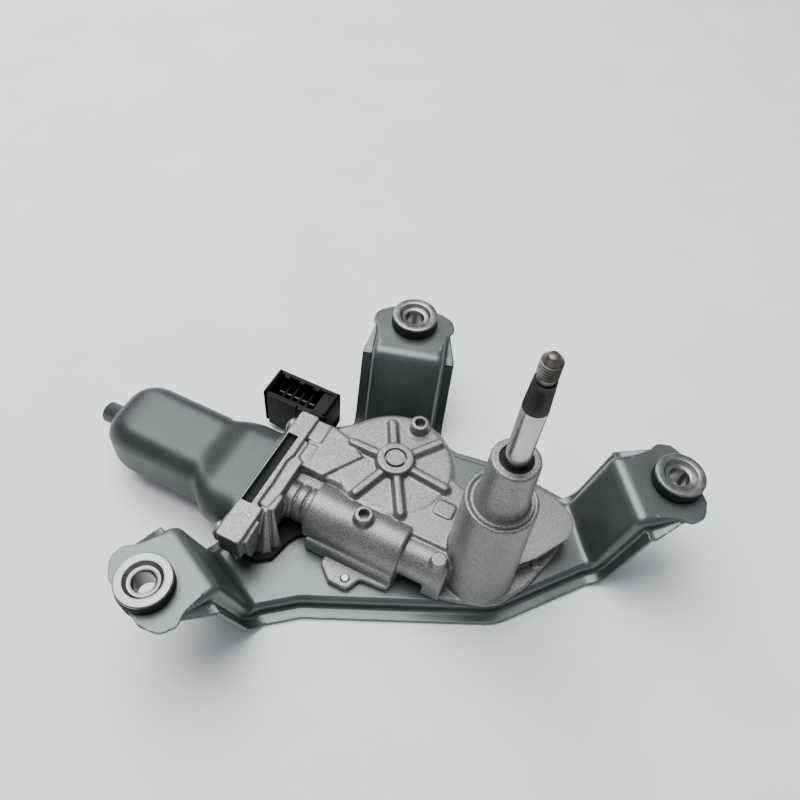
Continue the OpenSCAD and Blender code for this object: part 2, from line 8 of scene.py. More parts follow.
import bmesh
import bpy
from mathutils import Euler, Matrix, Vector


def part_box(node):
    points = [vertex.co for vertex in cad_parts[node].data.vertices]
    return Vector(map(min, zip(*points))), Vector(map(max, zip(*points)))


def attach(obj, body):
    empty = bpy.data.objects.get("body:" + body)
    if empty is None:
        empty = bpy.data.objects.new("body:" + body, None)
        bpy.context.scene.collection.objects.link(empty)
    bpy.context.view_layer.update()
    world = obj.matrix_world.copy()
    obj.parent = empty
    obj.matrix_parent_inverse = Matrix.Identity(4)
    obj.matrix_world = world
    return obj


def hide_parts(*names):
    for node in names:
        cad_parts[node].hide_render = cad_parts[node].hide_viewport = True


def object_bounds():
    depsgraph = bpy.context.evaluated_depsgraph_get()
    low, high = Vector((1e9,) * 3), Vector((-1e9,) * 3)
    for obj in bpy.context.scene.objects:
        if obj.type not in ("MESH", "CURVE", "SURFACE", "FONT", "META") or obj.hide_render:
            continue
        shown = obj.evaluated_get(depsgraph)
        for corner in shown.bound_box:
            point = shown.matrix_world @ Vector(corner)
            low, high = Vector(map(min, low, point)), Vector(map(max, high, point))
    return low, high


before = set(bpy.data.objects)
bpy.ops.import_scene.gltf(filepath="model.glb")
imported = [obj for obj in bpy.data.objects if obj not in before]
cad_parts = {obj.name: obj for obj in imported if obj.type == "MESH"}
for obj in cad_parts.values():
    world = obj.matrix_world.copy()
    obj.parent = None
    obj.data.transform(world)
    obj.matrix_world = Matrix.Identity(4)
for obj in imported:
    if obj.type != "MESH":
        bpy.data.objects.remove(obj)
cad_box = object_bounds()
MM = 0.001

shaft_low, shaft_high = (Vector(c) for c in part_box("output_shaft"))
cover_low = Vector(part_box("gear_cover")[0])
ORIGIN = Vector(((shaft_low.x + shaft_high.x) / 2, (shaft_low.y + shaft_high.y) / 2, cover_low.z))

# Driving sizes, as in the frame (mm)
MOTOR_Y, MOTOR_Z = -12.5, 13.0
WHEEL = (-56.5, 22.5)
LIP_DROP, SHEET, PAD_Z = 9.0, 2.0, 42.0
ARM_HALF = 19.0
PAD_HOLE_R, RUBBER_BORE_R, SLEEVE_BORE_R = 9.0, 6.4, 4.5
CASE_LOW = 1.2
CASE_R, CASE_ROOM_R = 30.5, 28.6
ROOF_Z = 25.0
LEVER_ROOM_R, LINK_ROOM_TOP = 15.9, 11.5
# The two hollow bosses on the roof
ROOF_BOSSES = ((-54.4, 46.5), (-55.6, -13))
BOSS_TOP, BOSS_BORE_R = 31, 2.7
FLANGE_BACK, FLANGE_POCKET, FLANGE_STEP = -111.0, -104, -98.4
FLANGE_TOP, EAR_LOW = 28.5, 14
TOWER_TOP, SHOULDER_Z, SHOULDER_R = 100.5, 70.0, 15.9
TOWER_BORE_R = 7
SHAFT_TIP, SHAFT_R = 160.5, 5
TAPER_LOW, THREAD_LOW = SHAFT_TIP - 27.1, SHAFT_TIP - 12.2
THREAD_R, THREAD_PITCH = 4.0, 1.25
LEVER_Z = 5.8
# Drawn can: end, start and length of its widening, wall, and the two rim screws beside it
CAN_END, CAN_NECK, CAN_FLARE, CAN_WALL = -192, -141, 16, 1.5
CAN_EAR = 1.6
RIM_SCREW_OUT, RIM_SCREW_Z = 33, 20
# Connector: outer box across the motor's end
PLUG_X, PLUG_Y, PLUG_LOW = (-139, -102), (33, 51), -5
# Pad hole, direction out of the plate (degrees), hole to upper bend, run of the slope
ARMS = {
    "left": ((-116.0, -89.6), -115.0, 23.7, 12.0),
    "right": ((69.4, 66.0), 36.0, 26.0, 11.0),
    "back": ((-82.4, 97.3), 107.0, 24.3, 16.0),
}


# ---------------------------------------------------------------- mesh helpers

def place(p):
    return ORIGIN + Vector(p) * MM


def arc(cx, cy, r, a0, a1, n=8):
    """Points on an arc, in degrees, both ends included."""
    return [(cx + r * math.cos(math.radians(a0 + (a1 - a0) * i / n)),
             cy + r * math.sin(math.radians(a0 + (a1 - a0) * i / n))) for i in range(n + 1)]


def circle(r, n=64, cx=0.0, cy=0.0):
    return [(cx + r * math.cos(2 * math.pi * i / n), cy + r * math.sin(2 * math.pi * i / n))
            for i in range(n)]


def rounded_line(points, radii, steps=6, closed=False):
    """A line of points with its corners rounded to the given radii."""
    pts = [Vector(p) for p in points]
    n = len(pts)
    out = []
    for i, (b, r) in enumerate(zip(pts, radii)):
        if (not closed and i in (0, n - 1)) or r <= 0:
            out.append(b)
            continue
        a, c = pts[(i - 1) % n], pts[(i + 1) % n]
        u, v = (a - b), (c - b)
        half = u.angle(v) / 2
        cut = min(r / math.tan(half), 0.48 * u.length, 0.48 * v.length)
        start, end = b + u.normalized() * cut, b + v.normalized() * cut
        for k in range(steps + 1):
            t = k / steps
            out.append(start * (1 - t) ** 2 + b * (2 * t * (1 - t)) + end * t ** 2)
    return [tuple(p) for p in out]


def offset_line(line, d, closed=False):
    """The line moved d to its left."""
    pts = [Vector(p) for p in line]
    n = len(pts)
    out = []
    for i, p in enumerate(pts):
        dirs = []
        if closed or i > 0:
            dirs.append((p - pts[i - 1]).normalized())
        if closed or i < n - 1:
            dirs.append((pts[(i + 1) % n] - p).normalized())
        left = [Vector((-v.y, v.x)) for v in dirs]
        if len(left) == 2:
            shift = (left[0] + left[1]) / max(0.3, 1 + left[0].dot(left[1]))
        else:
            shift = left[0]
        out.append(tuple(p + shift * d))
    return out


def thicken(line, d0, d1):
    return offset_line(line, d0) + offset_line(line, d1)[::-1]


def loft(rings, loop=False):
    """Verts and faces of a closed skin over rings of equal length."""
    n = len(rings[0])
    verts = [v for ring in rings for v in ring]
    faces = []
    count = len(rings)
    for i in range(count if loop else count - 1):
        a, b = i * n, ((i + 1) % count) * n
        for k in range(n):
            m = (k + 1) % n
            faces.append((a + k, a + m, b + m, b + k))
    if not loop:
        faces.append(tuple(range(n))[::-1])
        faces.append(tuple((count - 1) * n + k for k in range(n)))
    return verts, faces


def prism(outline, z0, z1, top_round=0.0, steps=5):
    """An upright prism; top_round softens its top edge."""
    rings = [[(x, y, z0) for x, y in outline]]
    if top_round:
        for k in range(steps + 1):
            a = math.pi / 2 * k / steps
            inner = offset_line(outline, top_round * (1 - math.cos(a)), closed=True)
            rings.append([(x, y, z1 - top_round * (1 - math.sin(a))) for x, y in inner])
    else:
        rings.append([(x, y, z1) for x, y in outline])
    return loft(rings)


def box(x0, x1, y0, y1, z0, z1, top_round=0.0):
    return prism([(x0, y0), (x1, y0), (x1, y1), (x0, y1)], z0, z1, top_round)


def turned(profile, centre=(0, 0), n=72):
    """Solid of revolution about an upright axis; profile is (radius, height) from end to end."""
    cx, cy = centre
    return loft([[(cx + x, cy + y, z) for x, y in circle(max(r, 1e-3), n)] for r, z in profile])


def turned_ring(profile, centre=(0, 0), n=72):
    """Ring of revolution from a closed profile."""
    cx, cy = centre
    rings = []
    for i in range(n):
        a = 2 * math.pi * i / n
        rings.append([(cx + r * math.cos(a), cy + r * math.sin(a), z) for r, z in profile])
    return loft(rings, loop=True)


def along_x(part, y=MOTOR_Y, z=MOTOR_Z):
    """Turns an upright part to lie along +X on the motor's axis."""
    verts, faces = part
    return [(v[2], y + v[1], z - v[0]) for v in verts], faces


def mesh_of(parts, name):
    bm = bmesh.new()
    for verts, faces in parts:
        new = [bm.verts.new(place(v)) for v in verts]
        for f in faces:
            bm.faces.new([new[i] for i in f])
    bmesh.ops.recalc_face_normals(bm, faces=bm.faces)
    mesh = bpy.data.meshes.new(name)
    bm.to_mesh(mesh)
    bm.free()
    return mesh


def piece(name, parts, look, body, *nodes, sharp=35.0):
    """One visible object made of closed parts."""
    ob = bpy.data.objects.new(name, mesh_of(parts, name))
    return dress(ob, look, body, nodes, sharp)


def dress(ob, look, body, nodes, sharp=35.0):
    if ob.name not in bpy.context.scene.collection.objects:
        bpy.context.scene.collection.objects.link(ob)
    ob.data.materials.clear()
    ob.data.materials.append(look)
    for poly in ob.data.polygons:
        poly.use_smooth = True
    if sharp:
        ob.data.set_sharp_from_angle(angle=math.radians(sharp))
    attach(ob, body)
    if nodes:
        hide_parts(*nodes)
    return ob


def bevelled(ob, width=0.35, segments=3, angle=30.0):
    mod = ob.modifiers.new("soft_edges", "BEVEL")
    mod.width = width * MM
    mod.segments = segments
    mod.limit_method = "ANGLE"
    mod.angle_limit = math.radians(angle)
    mod.harden_normals = False
    return ob


def settle(ob):
    """Applies an object's modifiers to its mesh."""
    bpy.context.view_layer.update()
    done = bpy.data.meshes.new_from_object(ob.evaluated_get(bpy.context.evaluated_depsgraph_get()))
    ob.modifiers.clear()
    old, ob.data = ob.data, done
    bpy.data.meshes.remove(old)


def blended(name, parts, voxel, passes):
    """Melts overlapping parts into one skin, with small fillets where they meet."""
    ob = bpy.data.objects.new(name, mesh_of(parts, name))
    bpy.context.scene.collection.objects.link(ob)
    remesh = ob.modifiers.new("melt", "REMESH")
    remesh.mode = "VOXEL"
    remesh.voxel_size = voxel * MM
    smooth = ob.modifiers.new("relax", "SMOOTH")
    smooth.factor = 0.5
    smooth.iterations = passes
    settle(ob)
    return ob


def cut(ob, parts):
    """Takes closed parts away from an object, one after another."""
    for i, part in enumerate(parts):
        tool = bpy.data.objects.new("tool%d" % i, mesh_of([part], "tool%d" % i))
        bpy.context.scene.collection.objects.link(tool)
        mod = ob.modifiers.new("cut", "BOOLEAN")
        mod.operation = "DIFFERENCE"
        mod.solver = "MANIFOLD"
        mod.object = tool
        settle(ob)
        bpy.data.objects.remove(tool, do_unlink=True)
    return ob


# ---------------------------------------------------------------- materials

def surface(name, dark, light, rough, metallic=1.0, grain=1.0, bump=0.1, blotch=25.0,
            stretch=(1, 1, 1), speck=None, gloss=0.5):
    """A procedural surface: colour and roughness drift over blotch mm, and relief at grain mm."""
    mat = bpy.data.materials.new(name)
    mat.use_nodes = True
    tree = mat.node_tree
    nodes, links = tree.nodes, tree.links
    shader = nodes["Principled BSDF"]
    shader.inputs["Metallic"].default_value = metallic
    shader.inputs["Specular IOR Level"].default_value = gloss
    coords = nodes.new("ShaderNodeTexCoord")
    mapping = nodes.new("ShaderNodeMapping")
    mapping.inputs["Scale"].default_value = stretch
    links.new(coords.outputs["Object"], mapping.inputs["Vector"])

    def noise(size, detail=4.0):
        tex = nodes.new("ShaderNodeTexNoise")
        tex.inputs["Scale"].default_value = 1000.0 / size
        tex.inputs["Detail"].default_value = detail
        links.new(mapping.outputs["Vector"], tex.inputs["Vector"])
        return tex.outputs["Fac"]

    def ramp(fac, stops):
        node = nodes.new("ShaderNodeValToRGB")
        first, last = node.color_ramp.elements
        first.position, first.color = stops[0][0], (*stops[0][1], 1)
        last.position, last.color = stops[-1][0], (*stops[-1][1], 1)
        links.new(fac, node.inputs["Fac"])
        return node.outputs["Color"]

    fine, broad = noise(grain), noise(blotch, 5.0)
    colour = ramp(broad, [(0.3, dark), (0.7, light)])
    if speck:
        spots = ramp(fine, [(0.35, speck), (0.6, (1, 1, 1))])
        mix = nodes.new("ShaderNodeMix")
        mix.data_type = "RGBA"
        mix.blend_type = "MULTIPLY"
        mix.inputs["Factor"].default_value = 1.0
        links.new(colour, mix.inputs["A"])
        links.new(spots, mix.inputs["B"])
        colour = mix.outputs["Result"]
    links.new(colour, shader.inputs["Base Color"])
    span = nodes.new("ShaderNodeMapRange")
    span.inputs["From Min"].default_value = 0.3
    span.inputs["From Max"].default_value = 0.7
    span.inputs["To Min"].default_value = rough[0]
    span.inputs["To Max"].default_value = rough[1]
    links.new(broad, span.inputs["Value"])
    links.new(span.outputs["Result"], shader.inputs["Roughness"])
    relief = nodes.new("ShaderNodeBump")
    relief.inputs["Strength"].default_value = bump
    relief.inputs["Distance"].default_value = grain * MM * 0.4
    links.new(fine, relief.inputs["Height"])
    links.new(relief.outputs["Normal"], shader.inputs["Normal"])
    return mat


def grey(v):
    return (v, v, v)


CAST = surface("cast_aluminium", grey(0.20), grey(0.27), (0.34, 0.46), metallic=0.7, grain=0.6,
               bump=0.5, speck=grey(0.42))
SHEET_STEEL = surface("bracket_steel", (0.088, 0.1, 0.098), (0.122, 0.136, 0.133), (0.3, 0.4),
                      metallic=0.7, grain=0.7, bump=0.15, blotch=40, speck=grey(0.8))
CAN = surface("can_steel", (0.043, 0.05, 0.049), (0.062, 0.07, 0.069), (0.36, 0.48), metallic=0.6,
              grain=0.7, bump=0.1, blotch=30, speck=grey(0.8))
ZINC = surface("sleeve_zinc", grey(0.17), grey(0.25), (0.26, 0.4), grain=0.8, bump=0.2, blotch=5)
RUBBER = surface("rubber", grey(0.004), grey(0.009), (0.6, 0.8), metallic=0.0, grain=0.6, bump=0.1,
                 gloss=0.25)
PLASTIC = surface("black_plastic", grey(0.003), grey(0.006), (0.5, 0.65), metallic=0.0, grain=0.5,
                  bump=0.2, gloss=0.15)
STEEL = surface("ground_steel", grey(0.36), grey(0.5), (0.16, 0.3), grain=1.0, bump=0.05,
                blotch=12, stretch=(1, 1, 0.2))
SCREW = surface("screw_steel", grey(0.26), grey(0.36), (0.3, 0.42), grain=0.8, bump=0.2, blotch=3)
# Dark oxidised steel for the knurled taper and retaining ring; the same dark colour also paints
# the shade in the can's seam strip
KNURL_AND_SEAM_SHADE = surface("oxidised_steel_and_seam_shade", grey(0.012), grey(0.04), (0.35, 0.6), metallic=0.7, grain=0.5,
                bump=0.2, blotch=5)
THREAD = surface("worn_thread", (0.075, 0.068, 0.06), (0.2, 0.19, 0.175), (0.35, 0.55), grain=0.5,
                 bump=0.4, blotch=3)
BRONZE = surface("sintered_bronze", (0.36, 0.2, 0.08), (0.5, 0.3, 0.13), (0.35, 0.5), grain=0.4,
                 bump=0.2, blotch=6)
COPPER = surface("enamelled_copper", (0.45, 0.14, 0.05), (0.6, 0.22, 0.08), (0.2, 0.3), grain=0.5,
                 bump=0.3, blotch=5)
LAMINATED = surface("laminated_steel", grey(0.14), grey(0.25), (0.3, 0.45), grain=0.5, bump=0.4,
                    blotch=8, stretch=(4, 0.2, 0.2))
FERRITE = surface("ferrite", grey(0.03), grey(0.05), (0.5, 0.7), metallic=0.0, grain=0.5, bump=0.2)
CARBON = surface("carbon", grey(0.012), grey(0.03), (0.35, 0.5), metallic=0.2, grain=0.4, bump=0.2)
NYLON = surface("nylon", (0.6, 0.57, 0.47), (0.7, 0.67, 0.58), (0.35, 0.5), metallic=0.0,
                grain=0.8, bump=0.1)
# Terminals darkened with painted shade: tinned brass shown as if lying in shadow inside the socket
TIN_IN_PAINTED_SHADE = surface("tinned_brass_painted_shade", (0.05, 0.045, 0.035), (0.09, 0.085, 0.07), (0.5, 0.6), grain=0.5,
              bump=0.1, blotch=3)

CAD_LOOKS = {
    "gear_cover": SHEET_STEEL, "bracket_bolts": SCREW, "field_magnets": FERRITE,
    "rear_bush": BRONZE, "thrust_ball": STEEL, "front_bearing": BRONZE, "worm_end_bush": BRONZE,
    "carbon_brushes": CARBON, "brush_springs": STEEL, "connector_terminals": TIN_IN_PAINTED_SHADE,
    "lower_shaft_bush": BRONZE, "upper_shaft_bush": BRONZE, "armature_shaft": STEEL,
    "worm": STEEL, "armature_core": LAMINATED, "armature_windings": COPPER, "commutator": COPPER,
    "worm_wheel": NYLON, "output_lever": SCREW, "lever_pin": STEEL, "retaining_ring": KNURL_AND_SEAM_SHADE,
    "link_rod": SCREW, "crank_pin": STEEL, "brush_holder": PLASTIC, "shaft_seal": RUBBER,
    "wheel_pin": CAST, "cover_rivets": SCREW,
}
for node, look in CAD_LOOKS.items():
    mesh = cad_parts[node].data
    mesh.materials.clear()
    mesh.materials.append(look)


# ---------------------------------------------------------------- bracket

def arm_axes(arm):
    (x, y), turn, crest, run = ARMS[arm]
    a = math.radians(turn)
    out, left = Vector((math.cos(a), math.sin(a), 0)), Vector((-math.sin(a), math.cos(a), 0))
    return Vector((x, y, 0)), out, left, crest, run


def valley_end(arm, side):
    hole, out, left, crest, run = arm_axes(arm)
    p = hole - out * (crest + run) + left * side * (ARM_HALF - 1)
    return (p.x, p.y)


def line_frames(points, across):
    """Frames for a sweep along 3-D points, with a fixed across direction."""
    pts = [Vector(p) for p in points]
    frames = []
    for i, p in enumerate(pts):
        a, b = pts[max(i - 1, 0)], pts[min(i + 1, len(pts) - 1)]
        along = (b - a).normalized()
        frames.append((p, across, along.cross(across).normalized()))
    return frames


def hat(depth, lip, half=ARM_HALF):
    """Section of a pressed arm: top, two walls and two lips."""
    mid = SHEET / 2
    low = -depth + mid
    line = rounded_line([(-half - lip, low), (-half + mid, low), (-half + mid, -mid),
                         (half - mid, -mid), (half - mid, low), (half + lip, low)],
                        [0, 2.4, 4.2, 4.2, 2.4, 0])
    return thicken(line, -mid, mid)


def arm_parts(arm):
    hole, out, left, crest, run = arm_axes(arm)
    valley = crest + run
    line = rounded_line([(-valley - 7, 0), (-valley, 0), (-crest, PAD_Z), (4, PAD_Z)],
                        [0, 7, 7, 0], steps=8)
    dense = []
    for (u0, z0), (u1, z1) in zip(line, line[1:]):
        n = max(1, int(math.hypot(u1 - u0, z1 - z0) / 3))
        dense += [(u0 + (u1 - u0) * k / n, z0 + (z1 - z0) * k / n) for k in range(n)]
    dense.append(line[-1])
    rings = []
    points = [hole + out * u + Vector((0, 0, z)) for u, z in dense]
    for (u, z), (p, across, up) in zip(dense, line_frames(points, left)):
        fade = min(1.0, max(0.0, (u + 3) / -14)) if z > PAD_Z - 1 else 1.0
        section = hat(SHEET + 0.6 + (LIP_DROP - SHEET - 0.6) * fade, 1.0 + 4.6 * fade, ARM_HALF)
        rings.append([tuple(p + across * a + up * b) for a, b in section])
    ear = rounded_line([(-16, -17), (-6, -19), (-1, -22.5), (6, -20.5), (10.5, -13), (10.5, 13),
                        (6, 20.5), (-1, 22.5), (-6, 19), (-16, 17)],
                       [0, 6, 5, 6, 5, 5, 6, 5, 6, 0])
    pad = prism([tuple((hole + out * u + left * v).xy) for u, v in ear], PAD_Z - SHEET, PAD_Z)
    return [loft(rings), pad]


def rim_parts(outline):
    """Web edge, wall and lip along a free edge of the plate."""
    mid = SHEET / 2
    line = rounded_line([(-7, -mid), (-mid, -mid), (-mid, mid - LIP_DROP), (5.6, mid - LIP_DROP)],
                        [0, 4.2, 2.4, 0])
    profile = thicken(line, -mid, mid)
    rings = []
    for d, z in profile:
        rings.append([(x, y, z) for x, y in offset_line(outline, -d)])
    count = len(outline)
    return loft([[ring[i] for ring in rings] for i in range(count)])


front_edge = rounded_line([valley_end("left", 1), (-68, -51.5), (15, -12.3),
                           valley_end("right", -1)], [0, 16, 22, 0], steps=8)
back_edge = rounded_line([valley_end("right", 1), (12, 61), (-17, 62), (-38, 58.7),
                          valley_end("back", -1)], [0, 12, 30, 16, 0], steps=6)
motor_edge = rounded_line([valley_end("back", 1), (-99.5, 43), (-106, 30), (-106, -46)],
                          [0, 8, 12, 0])
plate = front_edge + back_edge + motor_edge + [valley_end("left", -1)]
inner_plate = offset_line(plate, 2.5, closed=True)
bracket_parts = [prism(inner_plate, -SHEET, 0)]
for edge in (front_edge, back_edge, motor_edge):
    bracket_parts.append(rim_parts(edge))
for arm in ARMS:
    bracket_parts += arm_parts(arm)
bracket = blended("bracket", bracket_parts, 0.5, 5)
cut(bracket, [turned([(PAD_HOLE_R, PAD_Z - 12), (PAD_HOLE_R, PAD_Z + 8)], ARMS[a][0])
              for a in ARMS])
dress(bracket, SHEET_STEEL, "housing", ["mounting_bracket"], sharp=40)


# ---------------------------------------------------------------- rubber mounts

for arm in ARMS:
    hole = ARMS[arm][0]
    z = PAD_Z
    rubber = [(RUBBER_BORE_R, z - 6.4), (11.0, z - 6.4), (11.8, z - 5.6), (11.8, z - 2.8),
              (11.2, z - 2.0), (PAD_HOLE_R, z - 2.0), (PAD_HOLE_R, z), (11.4, z), (12.2, z + 0.8),
              (12.3, z + 2.4), (12.1, z + 4.2), (11.6, z + 5.2), (9.2, z + 5.2),
              (RUBBER_BORE_R, z + 2.4)]
    piece(arm + "_rubber", [turned_ring(rubber, hole)], RUBBER, "housing", arm + "_grommet",
          sharp=50)
    top = z + 6.8
    sleeve = [(SLEEVE_BORE_R, z - 6.8), (RUBBER_BORE_R, z - 6.8), (RUBBER_BORE_R, z + 2.4),
              (9.2, z + 5.2), (11.7, z + 5.2), (12.0, z + 5.5), (12.0, top - 0.5),
              (11.6, top - 0.1), (11.2, top), (8.6, top), (8.2, top - 0.15), (7.0, top - 1.7),
              (6.7, top - 1.9), (5.4, top - 2.0), (4.9, top - 2.3), (SLEEVE_BORE_R, top - 3.0)]
    piece(arm + "_bushing", [turned_ring(sleeve, hole, 96)], ZINC, "housing", arm + "_sleeve",
          sharp=28)


# ---------------------------------------------------------------- gear case

# Plans of the case: ear beside the tower, low foot, web and plateau towards the flange, and roof
EAR = [(-16, 12), (-10, 34), (6, 47), (20, 46), (29, 41), (32.3, 36), (31.5, 30.8), (21.3, 14.1),
       (14, 6)]
FOOT = [(-68, -27), (-68, -32), (-60.6, -38.5), (-50.5, -38.5), (-47.5, -31), (-34, -30),
        (-31, -20), (-13, -22.5), (-4, -20.5), (3, -18.3), (10, -16), (16, -12), (25, 3), (32, 25),
        (33.8, 37), (0, 20), (-40, 10)]
WEB = [(-100, -2), (-40, 0), (-60, 50), (-82, 38), (-92, 27.5), (-100, 26)]
BRIDGE = [(-45, -9), (-14, -9), (-8, 0), (-8, 12), (-14, 24), (-45, 34)]
PLATEAU = [(-100, -1), (-84, -1.7), (-71.6, 17.5), (-82.3, 24), (-93, 27), (-100, 26)]


def rod_way(wall):
    """Plan of the passage from the wheel to the shaft, in which the link rod moves."""
    length = math.hypot(*WHEEL)
    left_x, left_y = WHEEL[1] / length, -WHEEL[0] / length
    low, high = -7 - wall, 17.5 + wall
    return [(x + left_x * d, y + left_y * d)
            for (x, y), d in ((WHEEL, low), ((0, 0), low), ((0, 0), high), (WHEEL, high))]


def dome(r, z0, z1, soft, centre):
    shoulder = arc(r - soft, z1 - soft, soft, 0, 90)
    return turned([(0, z0), (r, z0)] + shoulder + [(0, z1)], centre, 96)


def rib(p, q, half, z0, z1, foot=0.0):
    """Bar with round ends between two points; foot widens it towards its base."""
    a = math.degrees(math.atan2(q[1] - p[1], q[0] - p[0]))
    rings = []
    for h, z in ((half + foot, z0), (half + 0.3 * foot, z0 + 0.5 * (z1 - z0)), (half, z1 - 0.7),
                 (half * 0.8, z1 - 0.2), (half * 0.5, z1)):
        outline = arc(q[0], q[1], h, a - 90, a + 90, 6) + arc(p[0], p[1], h, a + 90, a + 270, 6)
        rings.append([(x, y, z) for x, y in outline])
    return loft(rings)


def star():
    ends = [(-67.6, 42.6), (-41.2, 43.0), (-28.6, 19.9), (-41.8, -2.4), (-65.5, -2.5),
            (-80.0, 22.4)]
    parts = []
    for x, y in ends:
        dx, dy = x - WHEEL[0], y - WHEEL[1]
        start = 6 / math.hypot(dx, dy)
        parts.append(rib((WHEEL[0] + dx * start, WHEEL[1] + dy * start), (x, y), 1.9, ROOF_Z - 1,
                         ROOF_Z + 3.0, 1.8))
    return parts


def housing_solids():
    parts = [dome(CASE_R, CASE_LOW, ROOF_Z, 3.5, WHEEL)]
    parts.append(prism(WEB, CASE_LOW, ROOF_Z - 0.6, 2.0))
    parts.append(prism(PLATEAU, CASE_LOW, ROOF_Z + 1.2, 1.0))
    parts.append(turned([(0, ROOF_Z - 2), (10.2, ROOF_Z - 2), (9.6, ROOF_Z + 1),
                         (9.2, ROOF_Z + 4.0), (8.8, ROOF_Z + 4.5), (0, ROOF_Z + 4.5)], WHEEL))
    parts += star()
    # Low flange, ear and the rod's way
    foot_corners = [2, 3, 4, 4, 3, 3, 2, 3, 3, 4, 4, 8, 8, 5, 4, 0, 0]
    parts.append(prism(rounded_line(FOOT, foot_corners, closed=True), CASE_LOW, 4.0, 0.8))
    parts.append(prism(rounded_line(EAR, [0, 4, 8, 8, 6, 3, 3, 4, 0], closed=True),
                       CASE_LOW, 15, 4.0))
    parts.append(prism(rod_way(2), CASE_LOW, 14, 1.5))
    # Neck, worm tube and its closed end
    parts.append(along_x(turned([(0, -101), (9.5, -101), (9.5, -91.2), (8.5, -91.0), (8.5, -90.2),
                                 (9.5, -90), (9.6, -86.4), (8.5, -86.2), (8.5, -85.3), (9.7, -85),
                                 (9.7, -80), (0, -80)])))
    parts.append(along_x(turned([(0, -82), (12.8, -82), (13.5, -81.2), (13.5, -34), (12.6, -33),
                                 (0, -33)])))
    parts.append(along_x(turned([(0, -36), (10.6, -36), (10.6, -12), (9, -10.4), (0, -10.4)])))
    parts.append(box(-79, -33.4, MOTOR_Y - 15.6, MOTOR_Y + 4, CASE_LOW, MOTOR_Z - 2, 1.5))
    parts.append(box(-19.5, -10.5, MOTOR_Y - 10.6, MOTOR_Y + 8, CASE_LOW, MOTOR_Z, 1.0))
    parts.append(box(-98, -80, -8, 3, CASE_LOW, 20.6, 1.2))
    # Bosses
    far_boss, near_boss = ROOF_BOSSES
    parts.append(turned([(0, 18), (5.0, 18), (4.6, 27), (4.6, BOSS_TOP - 0.4), (4.2, BOSS_TOP),
                         (0, BOSS_TOP)], far_boss))
    parts.append(turned([(0, 20), (4.9, 20), (4.7, 27), (4.6, BOSS_TOP - 0.4), (4.2, BOSS_TOP),
                         (0, BOSS_TOP)], near_boss))
    parts.append(turned([(0, 2), (4.6, 2), (3.9, 26.4), (3.4, 27), (0, 27)], (-16, -15.5)))
    # Roof from the drum to the tower, with a low rounded mark
    parts.append(prism(rounded_line(BRIDGE, [0, 3, 0, 0, 3, 0], closed=True),
                       CASE_LOW, ROOF_Z - 0.4, 1.6))
    mark = [(-29, 6), (-19.5, 6), (-19.5, 14), (-29, 14)]
    parts.append(prism(rounded_line(mark, [2] * 4, closed=True), ROOF_Z - 4, ROOF_Z + 0.4))
    # Shaft tower with its dished shoulder
    parts.append(turned([(0, CASE_LOW), (18.4, CASE_LOW), (17.8, 4), (17.5, 9),
                         (SHOULDER_R, SHOULDER_Z - 4), (SHOULDER_R, SHOULDER_Z - 0.8),
                         (15.2, SHOULDER_Z), (14.4, SHOULDER_Z), (13.2, SHOULDER_Z - 0.8),
                         (12.2, SHOULDER_Z - 0.7), (11.4, SHOULDER_Z + 0.2),
                         (10.9, SHOULDER_Z + 3), (10.2, TOWER_TOP - 0.8), (9.6, TOWER_TOP),
                         (0, TOWER_TOP)], n=96))
    parts += flange_solids()
    return parts


